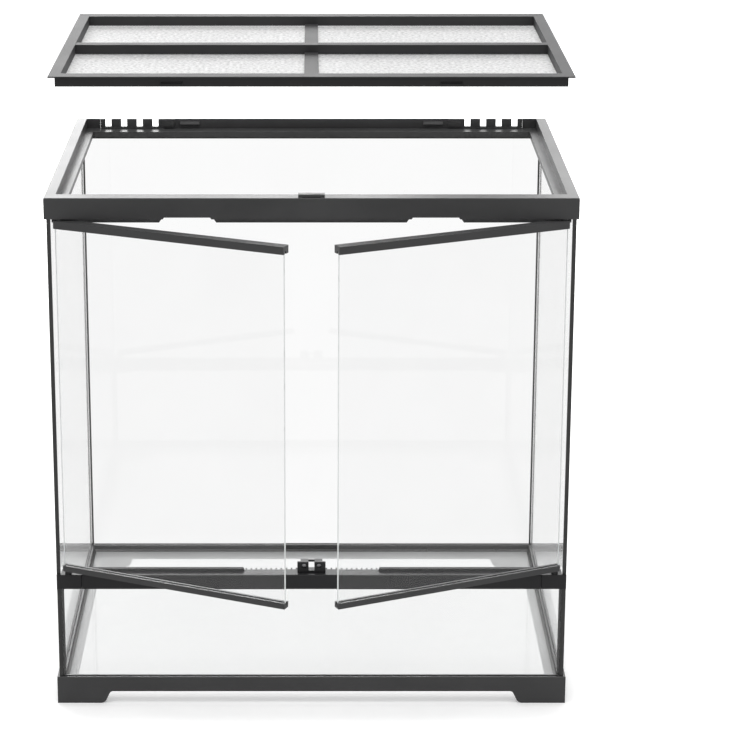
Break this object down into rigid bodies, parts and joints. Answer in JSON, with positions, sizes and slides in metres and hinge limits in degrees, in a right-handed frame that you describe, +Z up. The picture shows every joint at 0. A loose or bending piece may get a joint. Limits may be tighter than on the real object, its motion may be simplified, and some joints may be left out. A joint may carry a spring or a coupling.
{
  "type": "glass terrarium",
  "caption": "Glass reptile terrarium with two hinged front doors above a vent rail, a moulded base and top frame, and a lift-off screen lid held by a sliding catch.",
  "frame": {"origin": "middle of the overall box on the surface that the feet stand on", "axes": "+Z up, +X to the right seen from the front, -Y out of the front, where the doors are"},
  "size_m": [0.605, 0.5762, 0.7528],
  "materials": {
    "frame_plastic": "black moulded plastic, satin",
    "lid_plastic": "black moulded plastic, satin",
    "rubber": "matte black",
    "silicone": "black sealant, smooth",
    "glass": "clear float glass",
    "steel": "turned steel",
    "magnet": "plated, dull",
    "steel_mesh": "woven steel mesh, plain"
  },
  "bodies": {
    "tank": {"base_frame": "frame_plastic", "top_frame": "frame_plastic", "left_inlet_strip": "frame_plastic", "right_inlet_strip": "frame_plastic", "bottom_pane": "glass", "left_pane": "glass", "right_pane": "glass", "rear_pane": "glass", "lower_front_pane": "glass", "rear_left_seal": "silicone", "rear_right_seal": "silicone", "front_left_seal": "silicone", "front_right_seal": "silicone", "floor_seal": "silicone", "left_edge_trim": "silicone", "right_edge_trim": "silicone", "vent_rail": "frame_plastic", "vent_screen": "steel_mesh", "left_hinge_block": "frame_plastic", "right_hinge_block": "frame_plastic", "left_sill_seal": "rubber", "right_sill_seal": "rubber", "lock_housing": "frame_plastic", "left_lock_magnet": "magnet", "right_lock_magnet": "magnet"},
    "left_door": {"left_door_glass": "glass", "left_door_top_rail": "frame_plastic", "left_door_bottom_rail": "frame_plastic", "left_upper_hinge_pin": "steel", "left_lower_hinge_pin": "steel", "left_striker": "steel"},
    "right_door": {"right_door_glass": "glass", "right_door_top_rail": "frame_plastic", "right_door_bottom_rail": "frame_plastic", "right_upper_hinge_pin": "steel", "right_lower_hinge_pin": "steel", "right_striker": "steel"},
    "lid": {"lid_frame": "lid_plastic", "lid_screen_front_left": "steel_mesh", "lid_screen_front_right": "steel_mesh", "lid_screen_rear_left": "steel_mesh", "lid_screen_rear_right": "steel_mesh"},
    "lid_catch": {"lid_catch": "frame_plastic"},
    "left_inlet_slider": {"left_inlet_slider": "frame_plastic"},
    "right_inlet_slider": {"right_inlet_slider": "frame_plastic"}
  },
  "joints": [
    {"name": "left_door_hinge", "type": "hinge", "parent": "tank", "child": "left_door", "pos_m": [-0.286, -0.16269, 0.38], "axis": [0, 0, -1], "range_deg": [-24.7, 85.3]},
    {"name": "right_door_hinge", "type": "hinge", "parent": "tank", "child": "right_door", "pos_m": [0.286, -0.16269, 0.38], "axis": [0, 0, 1], "range_deg": [-24.7, 85.3]},
    {"name": "lid_lift", "type": "slide", "parent": "tank", "child": "lid", "axis": [0, 0, 1], "range_m": [-0.134, 0.06]},
    {"name": "lid_catch_slide", "type": "slide", "parent": "tank", "child": "lid_catch", "axis": [0, -1, 0], "range_m": [-0.006, 0]},
    {"name": "left_inlet_slide", "type": "slide", "parent": "tank", "child": "left_inlet_slider", "axis": [1, 0, 0], "range_m": [-0.0101, 0]},
    {"name": "right_inlet_slide", "type": "slide", "parent": "tank", "child": "right_inlet_slider", "axis": [-1, 0, 0], "range_m": [-0.0101, 0]}
  ]
}
